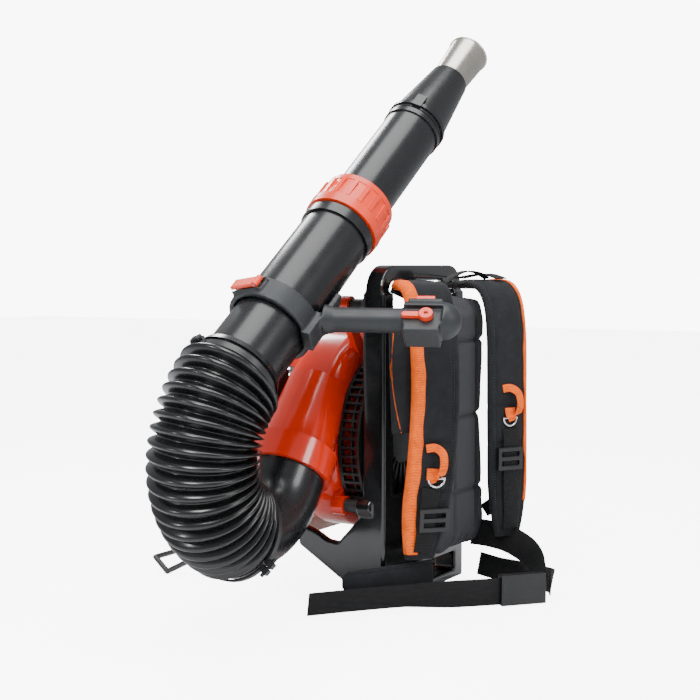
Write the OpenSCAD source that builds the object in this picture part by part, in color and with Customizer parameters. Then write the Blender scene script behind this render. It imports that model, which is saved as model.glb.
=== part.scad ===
// Backpack leaf blower: petrol fan unit on a carrying frame, with a swinging blower tube.
// +X is the wearer's left, -Y is the harness side, +Y is the engine side, +Z is up.
// The origin is on the ground under the middle of the back frame.

/* [Back frame] */
// Half the width of the frame, outside of the posts
frame_half_w = 124; // [118:1:130]
// Width of each upright post
post_w = 28; // [22:1:30]
// Depth of each upright post
post_d = 34; // [30:1:34]
// Top of the carrying bar above the ground
frame_h = 465; // [455:1:475]
// Thickness of the carrying bar
bar_d = 22; // [18:1:24]

/* [Fan unit] */
// Height of the fan shaft above the ground
fan_z = 216; // [214:1:220]
// Outside radius of the fan housing drum
drum_r = 146; // [142:1:150]
// Front face of the fan housing
drum_y0 = 55; // [54:0.5:57]
// Rear face of the fan housing
drum_y1 = 150; // [148:1:150]
// Wall thickness of the moulded housing
wall = 3; // [2:0.5:4]
// Radius of the impeller
impeller_r = 112; // [100:1:116]
// Number of impeller blades
blades = 20; // [12:1:28]
// Radius of the air intake cage
cage_r = 128; // [120:1:129]
// Number of ribs round the intake cage
cage_ribs = 64; // [40:2:72]

/* [Air path] */
// Outside diameter of the outlet collar
collar_d = 117; // [114:1:120]
// Outside diameter of the elbow
elbow_d = 104; // [100:1:106]
// Centreline radius of the elbow
elbow_r = 95; // [90:1:100]
// Outside diameter of the bellows hose
hose_d = 139; // [134:1:141]
// Centreline radius of the bellows hose
hose_r = 117; // [112:1:122]
// Angle that the bellows hose turns through
hose_a = 122; // [116:1:126]

/* [Blower tube] */
// Length of the lower tube
lower_l = 292; // [280:1:300]
// Outside diameter of the lower tube at the hose
lower_d0 = 102; // [100:1:104]
// Outside diameter of the lower tube at the lock collar
lower_d1 = 95; // [94:0.5:97]
// Outside diameter of the upper tube
upper_d = 82; // [78:1:84]
// Distance from the hose to the middle of the handle ring
ring_s = 108; // [106:1:114]
// Width of the handle ring
ring_w = 32; // [28:1:34]

/* [Hidden] */
$fn = 64;
steel = "silver";
orange = "orangered";
black = [0.09, 0.09, 0.10];
big = 600;
drum_x = 5;
drum_z = 232;
post_x = frame_half_w - post_w / 2;
post_y0 = -15;
post_y1 = post_y0 + post_d;
ear_x = 104;
ear_z = 420;
foot_ear_x = 118;
foot_ear_z = 135;
mount_y0 = 27;
mount_y1 = 47;
mount_r = 9;
ear_y1 = 66;
outlet = [-185, 100, 184];
outlet_tilt = 36;
duct_l = 140;
duct_r0 = 54;
duct_r1 = 44;
collar_h = 38;
elbow_in = 27;
elbow_a = 70.8;
elbow_roll = -7;
tube_wall = 2.5;
collar_s1 = 344;
cone_s0 = 512;
cone_s1 = 631;
tip_s = 702;
grip_turn = -80;
grip_lean = 20;
grip_d = 32;
pod_at = 168;
shaft_d = 12;
case_y0 = 150;
cyl_y = 182;
stand_d = 8;
gap = 0.3;

// ---- places ----
module along_y(x, y, z) translate([x, y, z]) rotate([-90, 0, 0]) children();
module both_sides() { children(); mirror([1, 0, 0]) children(); }
module at_outlet() translate(outlet) rotate([0, 180 + outlet_tilt, 0]) children();
module after_bend(r, a) translate([r, 0, 0]) rotate([0, a, 0]) translate([-r, 0, 0]) children();
module at_elbow_end()
    at_outlet() translate([0, 0, elbow_in]) after_bend(elbow_r, elbow_a)
        rotate([0, 0, elbow_roll]) children();
module at_tube() at_elbow_end() after_bend(hose_r, hose_a) children();
module at_grip()
    at_tube() translate([0, 0, ring_s]) rotate([0, 0, grip_turn]) rotate([0, 90 - grip_lean, 0])
        children();
module bend_pipe(r, a, ro, ri)
    translate([r, 0, 0]) rotate([90, 0, 180]) rotate_extrude(angle = a) translate([r, 0])
        difference() { circle(ro); circle(ri); }

// ---- plain shapes ----
module pipe(r0, r1, w, h, z = 0)
    translate([0, 0, z]) difference() {
        cylinder(r1 = r0, r2 = r1, h = h);
        translate([0, 0, -1]) cylinder(r1 = r0 - w, r2 = r1 - w, h = h + 2);
    }
module ring(ro, ri, h, z = 0)
    translate([0, 0, z]) difference() {
        cylinder(r = ro, h = h);
        translate([0, 0, -1]) cylinder(r = ri, h = h + 2);
    }
// a disc with rounded rims, from y0 to y1
module drum(r, y0, y1, k)
    along_y(drum_x, y0, drum_z) {
        cylinder(r = r - k, h = y1 - y0, $fn = 96);
        translate([0, 0, k]) cylinder(r = r, h = y1 - y0 - 2 * k, $fn = 96);
        for (z = [k, y1 - y0 - k])
            translate([0, 0, z]) rotate_extrude($fn = 96) translate([r - k, 0]) circle(k);
    }
// a rod between two points
module rod(p, q, r) {
    v = q - p;
    translate(p) rotate([0, acos(v[2] / norm(v)), atan2(v[1], v[0])]) cylinder(r = r, h = norm(v));
}
module knob_row(n, r, h) for (i = [0 : n - 1]) rotate([0, 0, i * 360 / n]) translate([r, 0, 0]) children();
module hex(d, h) cylinder(d = d / cos(30), h = h, $fn = 6);
// unit normal of a 2-D path at point i
function path_normal(p, i) =
    let (a = p[max(i - 1, 0)], b = p[min(i + 1, len(p) - 1)], d = (b - a) / norm(b - a)) [-d[1], d[0]];
module band2d(p, t)
    polygon(concat([for (i = [0 : len(p) - 1]) p[i] + path_normal(p, i) * t / 2],
        [for (i = [len(p) - 1 : -1 : 0]) p[i] - path_normal(p, i) * t / 2]));

// ---- back frame ----
wing_outline = [[-15, 0], [34, 0], [50, 30], [122, 75], [122, 106], [92, 96], [74, 86], [58, 84],
    [42, 101], [33, 112], [25, 121], [19, 147], [19, 200], [-15, 200]];
module wing()
    translate([frame_half_w - 11, 0, 0]) rotate([90, 0, 90]) linear_extrude(11) polygon(wing_outline);
module back_frame() color("dimgray") {
    both_sides() {
        translate([frame_half_w - post_w, post_y0, 0]) cube([post_w, post_d, frame_h - 38]);
        wing();
        // the corner of the carrying bar
        translate([frame_half_w - 38, post_y0 + post_d / 2, frame_h - 38])
            rotate([90, 0, 0]) translate([0, 0, -post_d / 2 + 4]) rotate_extrude(angle = 90)
                translate([38 - bar_d, 0]) square([bar_d, post_d - 8]);
        along_y(foot_ear_x, 5, foot_ear_z) cylinder(r = 12, h = mount_y0 - 5);
        along_y(ear_x, 5, ear_z - 10) cylinder(r = 12, h = mount_y0 - 5);
    }
    // carrying bar
    translate([-(frame_half_w - 38), post_y0 + 4, frame_h - bar_d])
        cube([2 * (frame_half_w - 38), post_d - 8, bar_d]);
    // cross panels behind the pad
    translate([-post_x, post_y0, 0]) cube([2 * post_x, 45, 12]);
    translate([-post_x, post_y0, 40]) cube([2 * post_x, 8, 110]);
    translate([-post_x, post_y0, 300]) cube([2 * post_x, 8, 70]);
}
stand_route = [[109, 114, 84], [104, 246, 66], [100, 370, 4.2], [100, 392, 24]];
module rear_stand() color(black) {
    both_sides() for (i = [0 : 2]) {
        rod(stand_route[i], stand_route[i + 1], stand_d / 2, $fn = 16);
        translate(stand_route[i + 1]) sphere(r = stand_d / 2, $fn = 16);
    }
    rod([-100, 392, 24], [100, 392, 24], stand_d / 2, $fn = 16);
}
module av_mounts() color(black) both_sides() {
    along_y(foot_ear_x, mount_y0, foot_ear_z) cylinder(r = mount_r, h = mount_y1 - mount_y0);
    along_y(ear_x, mount_y0, ear_z - 10) cylinder(r = mount_r, h = mount_y1 - mount_y0);
}
module mount_bolts() color(steel) both_sides() {
    along_y(foot_ear_x, ear_y1, foot_ear_z) cylinder(r = 5, h = 5);
    along_y(ear_x, ear_y1, ear_z - 10) cylinder(r = 5, h = 5);
}

// ---- fan housing ----
module duct(inset)
    at_outlet() rotate([180, 0, 0]) {
        cylinder(r1 = duct_r0 - inset, r2 = duct_r1 - inset, h = duct_l);
    }
module housing_outer() {
    drum(drum_r, drum_y0, drum_y1, 26);
    duct(0);
    at_outlet() ring(collar_d / 2, duct_r0 - 1, collar_h, -collar_h);
}
module housing_inner() {
    drum(drum_r - wall, drum_y0 + wall, drum_y1 - wall, 23);
    duct(wall);
    at_outlet() translate([0, 0, -12]) cylinder(r = elbow_d / 2 - wall, h = 14);
}
// an ear for a rubber mount, with the arm that carries it
module ear(p, q) {
    d = q - p;
    along_y(p[0], mount_y1, p[1]) cylinder(r = 13, h = ear_y1 - mount_y1);
    translate([p[0], ear_y1 - 10, p[1]]) rotate([0, -atan2(d[1], d[0]), 0])
        translate([0, 0, -9]) cube([norm(d), 9, 18]);
}
module fan_housing_front() color(orange)
    difference() {
        union() {
            intersection() {
                housing_outer();
                translate([-big / 2 - 50, -100, 0]) cube([big, 200, big]);
            }
            both_sides() {
                ear([ear_x, ear_z - 10], [55, 340]);
                ear([foot_ear_x, foot_ear_z], [90, 165]);
            }
        }
        housing_inner();
        along_y(0, 40, fan_z) cylinder(r = 70, h = 40);
    }
module fan_housing_rear() color(orange)
    difference() {
        intersection() {
            housing_outer();
            translate([-big / 2 - 50, 100, 0]) cube([big, 200, big]);
        }
        housing_inner();
        along_y(0, 120, fan_z) cylinder(r = 32, h = 40);
    }
screw_angles = [-5, 30, 70, 205, 325];
module housing_screws() color(steel)
    for (a = screw_angles)
        along_y(drum_x + 110 * cos(a), drum_y1, drum_z + 110 * sin(a)) {
            cylinder(r = 4.5, h = 3.5);
        }
module intake_screen() color(black)
    along_y(0, 0, fan_z) {
        ring(cage_r, cage_r - 8, 5, 50);
        ring(cage_r - 2, cage_r - 8, 3, 34);
        difference() {
            translate([0, 0, 22]) cylinder(r = cage_r, h = 4);
            for (i = [0 : 23]) rotate([0, 0, i * 15]) translate([34, -3, 20]) cube([80, 6, 8]);
        }
        knob_row(cage_ribs, cage_r - 6) translate([0, -1.8, 24]) cube([6, 3.6, 28]);
    }

// ---- rotor and engine ----
module impeller() color("darkred")
    along_y(0, 0, fan_z) {
        difference() {
            union() {
                translate([0, 0, 92]) cylinder(r = impeller_r, h = 4);
                translate([0, 0, 80]) cylinder(r1 = 18, r2 = 34, h = 14);
                knob_row(blades, 62) rotate([0, 0, 35]) translate([0, -1.2, 66]) cube([46, 2.4, 27]);
            }
            cylinder(r = shaft_d / 2, h = big);
        }
    }
module impeller_nut() color(steel)
    along_y(0, 72, fan_z) difference() {
        hex(19, 8);
        translate([0, 0, -1]) cylinder(r = shaft_d / 2 - 2, h = 10);
    }
module crankshaft() color(steel)
    along_y(0, 0, fan_z) {
        translate([0, 0, 72]) cylinder(r = shaft_d / 2 - 2, h = 8);
        translate([0, 0, 80]) cylinder(r = shaft_d / 2, h = 94);
        translate([0, 0, 170]) cylinder(r = 24, h = 8);
        translate([0, 0, 186]) cylinder(r = 24, h = 8);
        translate([0, 0, 190]) cylinder(r = shaft_d / 2, h = 46);
    }
module crank_bearings() color("lightsteelblue")
    along_y(0, 0, fan_z) for (z = [155, 200]) ring(14, shaft_d / 2 + 0.05, 8, z);
module crankcase() color("gray")
    difference() {
        union() {
            along_y(0, case_y0, fan_z) cylinder(r = 40, h = starter_y - case_y0);
            along_y(0, case_y0, fan_z) cylinder(r = 52, h = 5);
            translate([-30, 160, fan_z]) cube([60, 46, 46]);
        }
        along_y(0, 166, fan_z) cylinder(r = 28, h = 33);
        along_y(0, 140, fan_z) cylinder(r = 8, h = 90);
        for (y = [155, 200]) along_y(0, y, fan_z) cylinder(r = 14, h = 8);
        translate([0, cyl_y, fan_z + 10]) cylinder(r = 21, h = 60);
    }
module cylinder_part() color("darkgray")
    difference() {
        union() {
            translate([0, cyl_y, fan_z + 46]) cylinder(r = 27, h = 72);
            for (i = [0 : 6]) translate([-36, cyl_y - 32, fan_z + 54 + i * 9]) cube([72, 64, 3]);
            translate([26, cyl_y - 12, fan_z + 60]) cube([16, 24, 24]);
            translate([-42, cyl_y - 12, fan_z + 56]) cube([16, 24, 24]);
        }
        translate([0, cyl_y, fan_z + 40]) cylinder(r = 20, h = 70);
        translate([0, cyl_y, fan_z + 100]) cylinder(r = 5, h = 30);
        translate([-46, cyl_y, fan_z + 68]) rotate([0, 90, 0]) cylinder(r = 7, h = 92);
    }
module piston() color("lightgray")
    translate([0, cyl_y, fan_z + 50]) difference() {
        cylinder(r = 19.95, h = 28);
        translate([0, 0, -1]) cylinder(r = 16, h = 22);
    }
module connecting_rod() color(steel)
    translate([0, cyl_y, fan_z]) {
        rotate([90, 0, 0]) translate([0, 0, -3]) ring(9, 5, 6);
        translate([0, 0, 62]) rotate([90, 0, 0]) translate([0, 0, -3]) cylinder(r = 7, h = 6);
        translate([-4, -3, 8.5]) cube([8, 6, 48]);
    }
module spark_plug() color("white")
    translate([0, cyl_y, fan_z + 108]) {
        cylinder(r = 5, h = 10);
        translate([0, 0, 10]) hex(16, 8);
        translate([0, 0, 18]) cylinder(r = 4, h = 14);
    }
module plug_cap() color(black)
    translate([0, cyl_y, fan_z + 127]) {
        difference() {
            cylinder(r = 8, h = 20);
            translate([0, 0, -1]) cylinder(r = 4, h = 15);
        }
        translate([5, -6, 8]) cube([21, 12, 12]);
    }
module muffler() color("dimgray")
    difference() {
        translate([42, cyl_y - 30, fan_z + 42]) cube([42, 60, 66]);
        translate([44, cyl_y - 28, fan_z + 44]) cube([38, 56, 62]);
        translate([38, cyl_y, fan_z + 68]) rotate([0, 90, 0]) cylinder(r = 7, h = 8);
        translate([70, cyl_y + 20, fan_z + 60]) rotate([-90, 0, 0]) cylinder(r = 6, h = 20);
    }
module carburettor() color("silver")
    difference() {
        union() {
            translate([-78, cyl_y - 16, fan_z + 50]) cube([36, 32, 36]);
            translate([-70, cyl_y + 16, fan_z + 60]) cube([20, 10, 16]);
        }
        translate([-90, cyl_y, fan_z + 68]) rotate([0, 90, 0]) cylinder(r = 7, h = 60);
    }
module primer_bulb() color("gold")
    translate([-60, cyl_y - 10, fan_z + 50]) rotate([180, 0, 0]) {
        cylinder(r = 8, h = 3);
        translate([0, 0, 3]) intersection() {
            sphere(r = 7.5);
            cylinder(r = 8, h = 8);
        }
    }
filter_x = -108;
filter_y = cyl_y + 15;
module air_filter() color("wheat")
    translate([filter_x + 6, filter_y - 26, fan_z + 42]) cube([20, 52, 52]);
module air_filter_cover() color(black)
    difference() {
        translate([filter_x, filter_y - 31, fan_z + 37]) cube([30, 62, 62]);
        translate([filter_x + 4, filter_y - 28, fan_z + 40]) cube([27, 56, 56]);
        translate([filter_x - 1, filter_y, fan_z + 68]) rotate([0, 90, 0]) cylinder(r = 4.3, h = 8);
    }
module filter_knob() color(black)
    translate([filter_x, filter_y, fan_z + 68]) rotate([0, -90, 0]) {
        translate([0, 0, 0.3]) cylinder(r = 12, h = 9);
        knob_row(6, 12) translate([0, 0, 0.3]) cylinder(r = 2.5, h = 9);
        translate([0, 0, -5.5]) cylinder(r = 4, h = 6);
    }
module choke_lever() color(orange)
    translate([-60, cyl_y + 26.3, fan_z + 68]) rotate([-90, 0, 0]) {
        cylinder(r = 6, h = 4);
        translate([-3, -24, 0]) cube([6, 24, 4]);
        translate([-7, -30, 0]) cube([14, 8, 9]);
    }
module ignition_coil() color(black)
    translate([40.3, 188, fan_z - 20]) cube([14, 10, 36]);
starter_y = 218;
module starter_housing() color(black)
    along_y(0, starter_y, fan_z) difference() {
        union() {
            cylinder(r = 60, h = 34);
            translate([30, 34, 0]) cube([36, 22, 30]);
        }
        translate([0, 0, -1]) cylinder(r = 54, h = 31);
        translate([0, 0, 20]) cylinder(r = 4.3, h = 20);
        for (i = [0 : 17]) rotate([0, 0, i * 20]) translate([16, -1.6, 28]) cube([30, 3.2, 8]);
        translate([25, 45, 15]) rotate([0, 90, 0]) cylinder(r = 3, h = 50);
    }
module starter_pulley() color("white")
    along_y(0, 0, fan_z) {
        difference() {
            union() {
                translate([0, 0, 237.5]) cylinder(r = 34, h = 3);
                translate([0, 0, 240.5]) cylinder(r = 30, h = 3);
                translate([0, 0, 243.5]) cylinder(r = 34, h = 3);
            }
            translate([0, 0, 236]) cylinder(r = 8, h = 8);
        }
        translate([0, 0, 246]) cylinder(r = 4, h = 9);
    }
module starter_handle() color(black)
    translate([67, starter_y + 15, fan_z - 45]) rotate([0, 90, 0]) {
        cylinder(r = 9, h = 8);
        translate([0, -26, 8]) cube([14, 52, 16]);
        translate([-14, -26, 8]) cube([15, 52, 16]);
        translate([0, 0, -20]) cylinder(r = 1.8, h = 20);
    }
module engine_cover() color(orange)
    difference() {
        translate([-46, 152, fan_z + 102]) cube([150, 96, 60]);
        translate([-43, 149, fan_z + 100]) cube([144, 96, 59]);
        for (i = [0 : 8]) translate([-36 + i * 15, 160, fan_z + 150]) cube([5, 70, 20]);
    }
tank_x0 = -60;
tank_x1 = 98;
tank_y0 = 152;
tank_y1 = 250;
tank_z0 = 74;
tank_z1 = 152;
module fuel_tank() color("ivory")
    difference() {
        translate([tank_x0, tank_y0, tank_z0]) linear_extrude(tank_z1 - tank_z0) tank_plan(0);
        translate([tank_x0, tank_y0, tank_z0 + 2.5]) linear_extrude(tank_z1 - tank_z0 - 5) tank_plan(2.5);
        translate([tank_x1 - 22, tank_y0 + 24, tank_z1 - 10]) cylinder(r = 12, h = 20);
    }
module tank_plan(i) {
    w = tank_x1 - tank_x0 - i;
    d = tank_y1 - tank_y0 - i;
    polygon([[14, i], [w - 14, i], [w, 14], [w, d - 14], [w - 14, d], [14, d], [i, d - 14], [i, 14]]);
}
module fuel_cap() color(black)
    translate([tank_x1 - 22, tank_y0 + 24, tank_z1]) {
        translate([0, 0, 0.2]) cylinder(r = 18, h = 13);
        knob_row(16, 18) translate([0, 0, 0.2]) cylinder(r = 1.6, h = 12);
        translate([0, 0, -8]) cylinder(r = 11.7, h = 9);
    }

// ---- air path ----
module elbow() color(black)
    at_outlet() {
        ring(elbow_d / 2 - wall - gap, elbow_d / 2 - wall - 3, 11, -11);
        ring(elbow_d / 2, elbow_d / 2 - wall - 3, elbow_in, 0);
        translate([0, 0, elbow_in]) bend_pipe(elbow_r, elbow_a, elbow_d / 2, elbow_d / 2 - wall);
    }
clamp_h = 8;
module band_clamp(r, w) {
    difference() {
        union() {
            cylinder(r = r + 3, h = w);
            translate([-9, r, 0]) cube([18, 13, w]);
        }
        translate([0, 0, -1]) cylinder(r = r, h = w + 2);
        translate([-1.5, r - 2, -1]) cube([3, 20, w + 2]);
    }
    translate([-14, r + 8, w / 2]) rotate([0, 90, 0]) cylinder(r = 2.5, h = 28);
}
module lower_hose_clamp() color(steel)
    at_elbow_end() rotate([0, 0, 150]) band_clamp(hose_d / 2 - 5.4, clamp_h);
// angle taken up by the plain sleeve at the foot of the hose
hose_lap = 12;
module bellows_hose() color(black)
    at_elbow_end() {
        bend_pipe(hose_r, hose_lap, hose_d / 2 - 6.3, elbow_d / 2 - wall);
        after_bend(hose_r, hose_lap) bend_pipe(hose_r, hose_a - hose_lap - 0.2, hose_d / 2, hose_d / 2 - 11);
    }
module upper_hose_clamp() color(steel)
    at_tube() rotate([0, 0, 60]) band_clamp(lower_d0 / 2 + 4.5, clamp_h);
module lower_tube() color(black)
    at_tube() difference() {
        union() {
            pipe(lower_d0 / 2, lower_d1 / 2, tube_wall, lower_l, 0);
            pipe(59, 56, 9, 8, 12);
            ring(lower_d0 / 2 + 4.4, lower_d0 / 2 - 1, 12, 0);
            difference() {
                for (a = [grip_turn, grip_turn + 25, grip_turn + 50])
                    rotate([0, 0, a]) translate([lower_d1 / 2 - 2, -1.2, 22]) cube([5.5, 2.4, 60]);
                cylinder(r1 = lower_d0 / 2 - 1, r2 = lower_d1 / 2 - 1, h = lower_l);
            }
        }
        translate([0, 0, -1])
            cylinder(r1 = lower_d0 / 2 - tube_wall, r2 = lower_d1 / 2 - tube_wall, h = lower_l + 2);
    }
module tube_ring() color(black)
    at_tube() ring(lower_d1 / 2 + 3.5, lower_d1 / 2 + 0.7, 15, 270);
handle_ri = 51.5;
cam_turn = grip_turn - 118;
module handle_ring() color(black)
    at_tube() difference() {
        union() {
            translate([0, 0, ring_s - ring_w / 2]) cylinder(r = handle_ri + 7, h = ring_w);
            rotate([0, 0, grip_turn]) translate([handle_ri, -16, ring_s - 20]) cube([14, 32, 40]);
            rotate([0, 0, grip_turn + 12]) translate([handle_ri, -11, ring_s]) cube([8, 22, 72]);
            rotate([0, 0, cam_turn]) translate([handle_ri - 3, -26, ring_s - 11]) cube([12, 52, 22]);
        }
        translate([0, 0, ring_s - 40]) cylinder(r = handle_ri, h = 90);
        rotate([0, 0, cam_turn]) translate([handle_ri + 5.5, -28, ring_s - 8.5]) cube([12, 64, 17]);
    }
module at_cam()
    at_tube() rotate([0, 0, cam_turn]) translate([handle_ri + 11, 18, ring_s]) children();
module cam_lever() color(orange)
    at_cam() difference() {
        union() {
            translate([0, 0, -8]) cylinder(r = 4.5, h = 16);
            translate([-2.5, -44, -8]) cube([5, 44, 16]);
        }
        translate([0, 0, -9]) cylinder(r = 2.05, h = 18);
    }
module cam_pin() color(steel)
    at_cam() translate([0, 0, -8.4]) cylinder(r = 2, h = 16.8);
module control_grip() color(black)
    at_grip() {
        translate([0, 0, handle_ri + 14]) cylinder(d1 = 40, d2 = grip_d, h = 14);
        translate([0, 0, handle_ri + 28]) cylinder(d = grip_d, h = pod_at - handle_ri - 28);
    }
pod_l = 74;
module at_pod() at_grip() translate([0, 0, pod_at]) children();
module control_pod() color(black)
    at_pod() difference() {
        union() {
            cylinder(r = 24, h = pod_l - 25);
            translate([0, 0, pod_l - 25]) sphere(r = 24);
            translate([-26, -15, 4]) cube([26, 30, 44]);
            translate([4, -17, 2]) cube([26, 34, 46]);
        }
        translate([-40, -6, 9]) cube([28, 12, 34]);
        translate([-6, -36, -1]) cube([50, 20, 51]);
    }
module throttle_trigger() color(orange)
    at_pod() translate([-20, 0, 38]) difference() {
        union() {
            rotate([90, 0, 0]) translate([0, 0, -5]) cylinder(r = 5, h = 10);
            translate([-20, -5, -26]) cube([20, 10, 24]);
            translate([-5, -5, -14]) cube([8, 10, 14]);
        }
        rotate([90, 0, 0]) translate([0, 0, -9]) cylinder(r = 2.05, h = 18);
    }
module throttle_lock_lever() color(orange)
    at_pod() translate([8, -16.3, 30]) rotate([90, 0, 0]) difference() {
        union() {
            cylinder(r = 9, h = 8);
            translate([-4, -27, 0]) cube([8, 27, 6]);
            translate([0, -27, 0]) cylinder(r = 4, h = 6);
        }
        translate([0, 0, -1]) cylinder(r = 2.55, h = 12);
    }
module control_pins() color(steel)
    at_pod() {
        translate([-20, 0, 38]) rotate([90, 0, 0]) translate([0, 0, -8]) cylinder(r = 2, h = 16);
        translate([8, -10, 30]) rotate([90, 0, 0]) cylinder(r = 2.5, h = 11);
    }

// conduit of the throttle cable, in the tube's own axes, turned to cable_turn
cable_turn = 40;
cable_d = 7;
cable_route = [[55, 0, ring_s - ring_w / 2 - 0.3], [55.5, 0, ring_s - 23], [56.5, 0, 79], [57, 0, 70], [57, 0, 58], [56.5, 0, 46],
    [55.5, 0, 36], [54.5, 0, 28], [54, 0, 20.2]];
cable_sides = 8;
module sweep(path, r, n) {
    points = [for (p = path, i = [0 : n - 1]) p + r * [cos(i * 360 / n), sin(i * 360 / n), 0]];
    last = (len(path) - 1) * n;
    faces = concat(
        [[for (i = [n - 1 : -1 : 0]) i]],
        [for (k = [0 : len(path) - 2], i = [0 : n - 1])
            [k * n + i, k * n + (i + 1) % n, (k + 1) * n + (i + 1) % n, (k + 1) * n + i]],
        [[for (i = [0 : n - 1]) last + i]]);
    polyhedron(points, faces);
}
module throttle_cable() color(black)
    at_tube() rotate([0, 0, cable_turn]) sweep(cable_route, cable_d / 2, cable_sides);

collar_s0 = 288;
module lock_collar() color(orange)
    at_tube() difference() {
        union() {
            translate([0, 0, collar_s0]) cylinder(r1 = 53.5, r2 = 54.5, h = 14);
            translate([0, 0, collar_s0 + 14]) cylinder(r1 = 52.5, r2 = 49.5, h = 34);
            translate([0, 0, collar_s0 + 48]) cylinder(r = 50.5, h = 8);
            translate([0, 0, collar_s0 + 16]) knob_row(18, 46) translate([0, -3, 0]) cube([7.5, 6, 29]);
        }
        translate([0, 0, collar_s0 - 1]) cylinder(r = lower_d1 / 2 + gap, h = 14);
        translate([0, 0, collar_s0 - 1]) cylinder(r = upper_d / 2 + gap, h = 80);
    }
module upper_tube() color(black)
    at_tube() {
        pipe(upper_d / 2, upper_d / 2, tube_wall, cone_s0 - 294, 294);
        ring(upper_d / 2 + 2, upper_d / 2 - 0.5, 8, cone_s0 - 10);
    }
module nozzle_cone() color(black)
    at_tube() {
        pipe(upper_d / 2 + 1.5, 29, tube_wall, cone_s1 - cone_s0, cone_s0);
        ring(upper_d / 2 + 3, upper_d / 2 + 0.4, 6, cone_s0 + 6);
        translate([0, 0, cone_s0 + 3]) rotate([0, 0, 200]) translate([upper_d / 2, -7, 0]) cube([5, 14, 22]);
    }
module steel_nozzle() color(steel)
    at_tube() {
        pipe(25.6, 30.3, 1, tip_s - 618, 618);
        translate([0, 0, tip_s - 1]) rotate_extrude() translate([30.2, 0]) circle(1.4, $fn = 16);
    }

// ---- harness ----
pad_half_w = 76;
pad_z0 = 60;
pad_z1 = 425;
pad_y0 = -78;
module back_pad() color(black)
    translate([0, post_y0, 0]) rotate([90, 0, 0]) {
        translate([-pad_half_w, pad_z0 + 20, 0]) cube([2 * pad_half_w, pad_z1 - pad_z0 - 40, post_y0 - pad_y0]);
        translate([-pad_half_w + 20, pad_z0, 0]) cube([2 * pad_half_w - 40, pad_z1 - pad_z0, post_y0 - pad_y0]);
        for (x = [-1, 1], z = [pad_z0 + 20, pad_z1 - 20])
            translate([x * (pad_half_w - 20), z, 0]) cylinder(r = 20, h = post_y0 - pad_y0);
    }
strap_w = 66;
strap_t = 13;
left_path = [[20, 436], [-20, 438], [-56, 434], [-75, 412], [-81, 370], [-82, 325], [-82, 280],
    [-82, 235], [-81, 190], [-80, 150], [-79, 110], [-78, 80]];
right_path = [[2, 436], [-30, 438], [-56, 432], [-68, 410], [-74, 370], [-77, 325], [-78, 280],
    [-76, 235], [-72, 190], [-66, 150], [-60, 110], [-55, 72]];
module strap(path) rotate([90, 0, 90]) translate([0, 0, -strap_w / 2]) linear_extrude(strap_w) band2d(path, strap_t);
module at_right_strap() translate([-66, -36, 0]) rotate([0, 0, -45]) children();
module at_left_strap() translate([91, -46, 0]) rotate([0, 0, -30]) children();
module shoulder_strap_left() color(black) at_left_strap() strap(left_path);
module shoulder_strap_right() color(black) at_right_strap() strap(right_path);
// a ladder lock lying flat in the XZ plane
module ladder_lock() difference() {
    translate([-21, -6, -16]) cube([42, 5.7, 32]);
    for (z = [-10, 3]) translate([-15, -8, z]) cube([30, 10, 7]);
}
module strap_adjusters() color(black) {
    at_right_strap() translate([0, -69.6, 127]) rotate([8.5, 0, 0]) ladder_lock();
    at_left_strap() translate([0, -88, 192.5]) rotate([1.3, 0, 0]) ladder_lock();
}
module d_ring() rotate([90, 0, 0]) translate([0, 0, 1.6]) {
    rotate([0, 0, 180]) rotate_extrude(angle = 180) translate([11, 0]) circle(1.5, $fn = 16);
    translate([-12.5, 0, 0]) rotate([0, 90, 0]) cylinder(r = 1.5, h = 25, $fn = 16);
}
module d_rings() color(steel) {
    at_right_strap() translate([0, -79.5, 183]) d_ring();
    at_left_strap() translate([0, -89.2, 250]) d_ring();
}
belt_near = [[-229, 41], [-180, -6], [-130, -54], [-80, -102], [-35, -145]];
belt_far = [[24, -196], [48, -188], [68, -166], [80, -130], [82, -96], [80, -62]];
hip_near = [[-84, -66], [-118, -44], [-150, -16], [-186, 14]];
belt_w = 42;
module hip_belt() color(black) {
    translate([0, 0, 1]) linear_extrude(belt_w) band2d(belt_near, 3);
    translate([0, 0, 5]) linear_extrude(belt_w) band2d(belt_far, 3);
    translate([0, 0, 22]) linear_extrude(44) band2d(hip_near, 9);
}
module at_buckle() translate([-34, -146, 22]) rotate([0, 0, -42]) children();
module buckle_socket() color(black)
    at_buckle() difference() {
        translate([0, -7, -21]) cube([40, 14, 42]);
        translate([8, -4.5, -17]) cube([40, 9, 34]);
    }
module buckle_tab() color(black)
    at_buckle() {
        translate([40.3, -7, -21]) cube([26, 14, 42]);
        for (z = [-15, -3, 9]) translate([16, -3.8, z]) cube([25, 7.6, 6]);
    }

back_frame();
rear_stand();
av_mounts();
mount_bolts();
fan_housing_front();
fan_housing_rear();
housing_screws();
intake_screen();
impeller();
impeller_nut();
crankshaft();
crank_bearings();
crankcase();
cylinder_part();  // cylinder
piston();
connecting_rod();
spark_plug();
plug_cap();
muffler();
carburettor();
air_filter();
air_filter_cover();
filter_knob();
choke_lever();
primer_bulb();
ignition_coil();
starter_housing();
starter_pulley();
starter_handle();
engine_cover();
fuel_tank();
fuel_cap();
elbow();
lower_hose_clamp();
bellows_hose();
upper_hose_clamp();
lower_tube();
tube_ring();
handle_ring();
cam_lever();
cam_pin();
control_grip();
control_pod();
throttle_trigger();
throttle_lock_lever();
control_pins();
throttle_cable();
lock_collar();
upper_tube();
nozzle_cone();
steel_nozzle();
back_pad();
shoulder_strap_right();
shoulder_strap_left();
strap_adjusters();
d_rings();
hip_belt();
buckle_socket();
buckle_tab();
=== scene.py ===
"""Backpack leaf blower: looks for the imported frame. Blender metres, same axes as the CAD."""
import math

import bmesh
import bpy
from mathutils import Matrix, Vector, noise


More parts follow.
